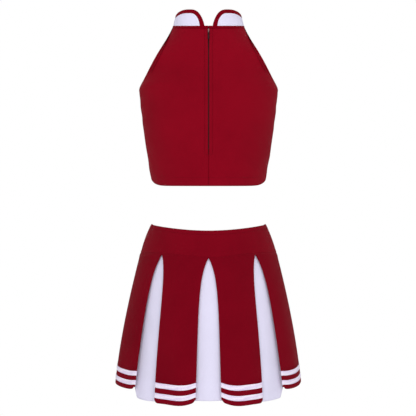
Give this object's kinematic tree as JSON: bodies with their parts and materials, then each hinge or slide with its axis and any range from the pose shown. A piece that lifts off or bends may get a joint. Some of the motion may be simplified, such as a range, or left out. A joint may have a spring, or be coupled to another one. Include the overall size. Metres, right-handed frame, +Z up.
{
  "type": "cheer uniform",
  "caption": "Cheer uniform: sleeveless zip-back top with a white stand collar, and a yoked skirt of swinging panels over contrasting pleat insets.",
  "frame": {"origin": "centre of the skirt's waist, at the height of its top edge at centre back", "axes": "+Z up, -Y towards the garment's back where the zip is, +X towards the wearer's right"},
  "size_m": [0.4166, 0.2996, 0.828],
  "materials": {
    "maroon_knit": "matte double knit with a faint sheen",
    "white_knit": "matte white double knit",
    "maroon_trim": "folded binding and piping",
    "satin_ribbon": "satin",
    "elastic": "woven elastic",
    "zip_tape": "woven tape",
    "zip_coil": "moulded coil",
    "zip_metal": "satin plated metal"
  },
  "bodies": {
    "skirt_waist": {"yoke_back": "maroon_knit", "yoke_front": "maroon_knit", "yoke_facing_back": "maroon_knit", "yoke_facing_front": "maroon_knit", "waist_elastic": "elastic"},
    "panel_1": {"skirt_panel_1": "maroon_knit", "panel_ribbons_1": "satin_ribbon"},
    "panel_2": {"skirt_panel_2": "maroon_knit", "panel_ribbons_2": "satin_ribbon"},
    "panel_3": {"skirt_panel_3": "maroon_knit", "panel_ribbons_3": "satin_ribbon"},
    "panel_4": {"skirt_panel_4": "maroon_knit", "panel_ribbons_4": "satin_ribbon"},
    "panel_5": {"skirt_panel_5": "maroon_knit", "panel_ribbons_5": "satin_ribbon"},
    "panel_6": {"skirt_panel_6": "maroon_knit", "panel_ribbons_6": "satin_ribbon"},
    "panel_7": {"skirt_panel_7": "maroon_knit", "panel_ribbons_7": "satin_ribbon"},
    "panel_8": {"skirt_panel_8": "maroon_knit", "panel_ribbons_8": "satin_ribbon"},
    "inset_1": {"skirt_inset_1": "white_knit"},
    "inset_2": {"skirt_inset_2": "white_knit"},
    "inset_3": {"skirt_inset_3": "white_knit"},
    "inset_4": {"skirt_inset_4": "white_knit"},
    "inset_5": {"skirt_inset_5": "white_knit"},
    "inset_6": {"skirt_inset_6": "white_knit"},
    "inset_7": {"skirt_inset_7": "white_knit"},
    "inset_8": {"skirt_inset_8": "white_knit"},
    "top": {"top_front_panel": "maroon_knit", "top_back_panel_left": "maroon_knit", "top_back_panel_right": "maroon_knit", "collar_outer": "white_knit", "collar_lining": "white_knit", "collar_binding": "maroon_trim", "neck_piping": "maroon_trim", "armhole_facing_left": "maroon_knit", "armhole_facing_right": "maroon_knit", "top_hem_facing_back": "maroon_knit", "top_hem_facing_front": "maroon_knit", "zip_bottom_stop": "zip_coil"},
    "flap_left": {"top_back_flap_left": "maroon_knit", "collar_outer_end_left": "white_knit", "collar_lining_end_left": "white_knit", "collar_binding_end_left": "maroon_trim", "neck_piping_end_left": "maroon_trim", "zip_tape_left": "zip_tape", "zip_coil_left": "zip_coil", "zip_top_stop_left": "zip_coil"},
    "flap_right": {"top_back_flap_right": "maroon_knit", "collar_outer_end_right": "white_knit", "collar_lining_end_right": "white_knit", "collar_binding_end_right": "maroon_trim", "neck_piping_end_right": "maroon_trim", "zip_tape_right": "zip_tape", "zip_coil_right": "zip_coil", "zip_top_stop_right": "zip_coil"},
    "slider": {"zip_slider": "zip_metal"},
    "pull_tab": {"zip_pull_tab": "zip_metal"}
  },
  "joints": [
    {"name": "top_lift", "type": "slide", "parent": "skirt_waist", "child": "top", "axis": [0, 0, 1], "range_m": [0, 0.3]},
    {"name": "panel_1_swing", "type": "hinge", "parent": "skirt_waist", "child": "panel_1", "pos_m": [0.05042, -0.1059, -0.06], "axis": [-0.9667, -0.2561, 0], "range_deg": [0, 12]},
    {"name": "panel_2_swing", "type": "hinge", "parent": "skirt_waist", "child": "panel_2", "pos_m": [0.13604, -0.04829, -0.06], "axis": [-0.5378, -0.8431, 0], "range_deg": [0, 12]},
    {"name": "panel_3_swing", "type": "hinge", "parent": "skirt_waist", "child": "panel_3", "pos_m": [0.13604, 0.04829, -0.06], "axis": [0.5378, -0.8431, 0], "range_deg": [0, 12]},
    {"name": "panel_4_swing", "type": "hinge", "parent": "skirt_waist", "child": "panel_4", "pos_m": [0.05042, 0.1059, -0.06], "axis": [0.9667, -0.2561, 0], "range_deg": [0, 12]},
    {"name": "panel_5_swing", "type": "hinge", "parent": "skirt_waist", "child": "panel_5", "pos_m": [-0.05042, 0.1059, -0.06], "axis": [0.9667, 0.2561, 0], "range_deg": [0, 12]},
    {"name": "panel_6_swing", "type": "hinge", "parent": "skirt_waist", "child": "panel_6", "pos_m": [-0.13604, 0.04829, -0.06], "axis": [0.5378, 0.8431, 0], "range_deg": [0, 12]},
    {"name": "panel_7_swing", "type": "hinge", "parent": "skirt_waist", "child": "panel_7", "pos_m": [-0.13604, -0.04829, -0.06], "axis": [-0.5378, 0.8431, 0], "range_deg": [0, 12]},
    {"name": "panel_8_swing", "type": "hinge", "parent": "skirt_waist", "child": "panel_8", "pos_m": [-0.05042, -0.1059, -0.06], "axis": [-0.9667, 0.2561, 0], "range_deg": [0, 12]},
    {"name": "inset_1_swing", "type": "hinge", "parent": "skirt_waist", "child": "inset_1", "pos_m": [0, -0.11238, -0.06], "axis": [-1, 0, 0], "range_deg": [0, 11.33]},
    {"name": "inset_2_swing", "type": "hinge", "parent": "skirt_waist", "child": "inset_2", "pos_m": [0.09851, -0.08503, -0.06], "axis": [-0.8405, -0.5418, 0], "range_deg": [0, 11.33]},
    {"name": "inset_3_swing", "type": "hinge", "parent": "skirt_waist", "child": "inset_3", "pos_m": [0.15066, 0, -0.06], "axis": [0, -1, 0], "range_deg": [0, 11.33]},
    {"name": "inset_4_swing", "type": "hinge", "parent": "skirt_waist", "child": "inset_4", "pos_m": [0.09851, 0.08503, -0.06], "axis": [0.8405, -0.5418, 0], "range_deg": [0, 11.33]},
    {"name": "inset_5_swing", "type": "hinge", "parent": "skirt_waist", "child": "inset_5", "pos_m": [0, 0.11238, -0.06], "axis": [1, 0, 0], "range_deg": [0, 11.33]},
    {"name": "inset_6_swing", "type": "hinge", "parent": "skirt_waist", "child": "inset_6", "pos_m": [-0.09851, 0.08503, -0.06], "axis": [0.8405, 0.5418, 0], "range_deg": [0, 11.33]},
    {"name": "inset_7_swing", "type": "hinge", "parent": "skirt_waist", "child": "inset_7", "pos_m": [-0.15066, 0, -0.06], "axis": [0, 1, 0], "range_deg": [0, 11.33]},
    {"name": "inset_8_swing", "type": "hinge", "parent": "skirt_waist", "child": "inset_8", "pos_m": [-0.09851, -0.08503, -0.06], "axis": [-0.8405, 0.5418, 0], "range_deg": [0, 11.33]},
    {"name": "zip_slide", "type": "slide", "parent": "top", "child": "slider", "axis": [0, -0.0525, -0.9986], "range_m": [0, 0.252]},
    {"name": "flap_left_fold", "type": "hinge", "parent": "top", "child": "flap_left", "pos_m": [0, -0.098, 0.16], "axis": [0.1587, -0.0837, -0.9838], "range_deg": [0, 46.2]},
    {"name": "flap_right_fold", "type": "hinge", "parent": "top", "child": "flap_right", "pos_m": [0, -0.098, 0.16], "axis": [0.1587, 0.0837, 0.9838], "range_deg": [0, 46.2]},
    {"name": "tab_flip", "type": "hinge", "parent": "slider", "child": "pull_tab", "pos_m": [0, -0.08612, 0.4176], "axis": [-1, 0, 0], "range_deg": [0, 155]}
  ],
  "couplings": [
    {"joint": "panel_2_swing", "follows": "panel_1_swing", "ratio": 1},
    {"joint": "panel_3_swing", "follows": "panel_1_swing", "ratio": 1},
    {"joint": "panel_4_swing", "follows": "panel_1_swing", "ratio": 1},
    {"joint": "panel_5_swing", "follows": "panel_1_swing", "ratio": 1},
    {"joint": "panel_6_swing", "follows": "panel_1_swing", "ratio": 1},
    {"joint": "panel_7_swing", "follows": "panel_1_swing", "ratio": 1},
    {"joint": "panel_8_swing", "follows": "panel_1_swing", "ratio": 1},
    {"joint": "inset_1_swing", "follows": "panel_1_swing", "ratio": 0.94},
    {"joint": "inset_2_swing", "follows": "panel_1_swing", "ratio": 0.94},
    {"joint": "inset_3_swing", "follows": "panel_1_swing", "ratio": 0.94},
    {"joint": "inset_4_swing", "follows": "panel_1_swing", "ratio": 0.94},
    {"joint": "inset_5_swing", "follows": "panel_1_swing", "ratio": 0.94},
    {"joint": "inset_6_swing", "follows": "panel_1_swing", "ratio": 0.94},
    {"joint": "inset_7_swing", "follows": "panel_1_swing", "ratio": 0.94},
    {"joint": "inset_8_swing", "follows": "panel_1_swing", "ratio": 0.94},
    {"joint": "flap_left_fold", "follows": "zip_slide", "rad_per_m": 3.1859},
    {"joint": "flap_right_fold", "follows": "zip_slide", "rad_per_m": 3.1859}
  ]
}
